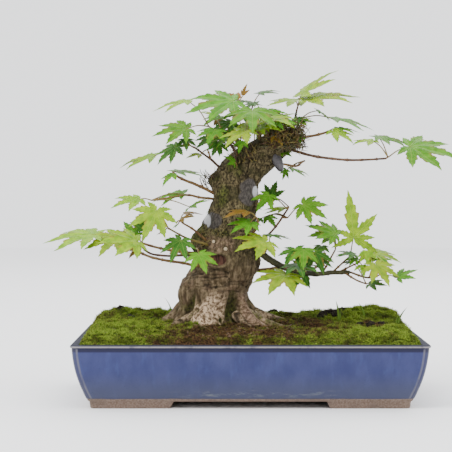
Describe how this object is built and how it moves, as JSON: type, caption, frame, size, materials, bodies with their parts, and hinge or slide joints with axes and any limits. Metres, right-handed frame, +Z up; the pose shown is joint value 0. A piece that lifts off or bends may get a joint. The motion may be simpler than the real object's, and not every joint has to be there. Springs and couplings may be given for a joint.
{
  "type": "bonsai maple tree in a pot",
  "caption": "Small-leaved maple bonsai with a thick leaning trunk and mossy soil in a shallow rectangular glazed pot on four corner feet.",
  "frame": {"origin": "on the table, under the centre of the pot", "axes": "+X along the pot's long side, -Y towards the front, +Z up"},
  "size_m": [0.312, 0.19, 0.246],
  "materials": {
    "glaze": "deep blue glaze, mottled and glossy, with bare brown clay at the feet",
    "mesh_plastic": "matt",
    "clip_wire": "satin",
    "soil": "damp, granular",
    "moss": "short velvet pile",
    "bark": "rough furrowed bark",
    "leaf_green": "thin, satin",
    "leaf_lime": "thin, satin, young",
    "leaf_dark": "thin, satin, shaded",
    "leaf_red": "thin, satin, just opened"
  },
  "bodies": {
    "root": {"pot": "glaze", "drain_mesh_left": "mesh_plastic", "drain_mesh_right": "mesh_plastic", "mesh_clip_left": "clip_wire", "mesh_clip_right": "clip_wire", "soil": "soil", "trunk": "bark", "moss_front": "moss", "moss_right": "moss", "moss_back": "moss", "moss_left": "moss", "branch_crown_left": "bark", "branch_crown_front": "bark", "branch_crown_top": "bark", "branch_crown_right": "bark", "branch_right_long": "bark", "branch_middle_right": "bark", "branch_low_right": "bark", "branch_low_left_yellow": "bark", "branch_low_left_middle": "bark", "branch_back_high": "bark", "spray_crown_left_tip": "leaf_dark", "spray_crown_left_inner": "leaf_lime", "spray_crown_left_high": "leaf_lime", "spray_crown_front_left": "leaf_green", "spray_crown_top_left": "leaf_green", "spray_crown_front": "leaf_green", "spray_crown_back": "leaf_dark", "spray_crown_right_top": "leaf_lime", "spray_crown_right_middle": "leaf_green", "spray_apex_front": "leaf_lime", "spray_right_high": "leaf_lime", "spray_right_long_tip": "leaf_green", "spray_right_under": "leaf_green", "spray_middle_right_tip": "leaf_lime", "spray_middle_right_star": "leaf_green", "spray_low_right_inner": "leaf_lime", "spray_low_right_dark": "leaf_dark", "spray_low_right_under": "leaf_dark", "spray_low_right_bright": "leaf_lime", "spray_low_right_small": "leaf_dark", "spray_low_right_green": "leaf_green", "spray_low_right_upright": "leaf_lime", "spray_low_right_end_top": "leaf_lime", "spray_low_right_end_far": "leaf_green", "spray_low_right_end_under": "leaf_dark", "spray_middle_left": "leaf_green", "spray_middle_left_long": "leaf_green", "spray_low_left_star": "leaf_lime", "spray_low_left_red": "leaf_red", "spray_low_left_dark": "leaf_dark", "spray_low_left_bright": "leaf_green", "spray_low_left_tip": "leaf_lime", "spray_low_left_end": "leaf_lime", "spray_low_left_mixed": "leaf_green", "spray_trunk_front": "leaf_green", "spray_back_high_left": "leaf_green", "spray_back_high_right": "leaf_green", "spray_back_low": "leaf_green"}
  },
  "joints": []
}
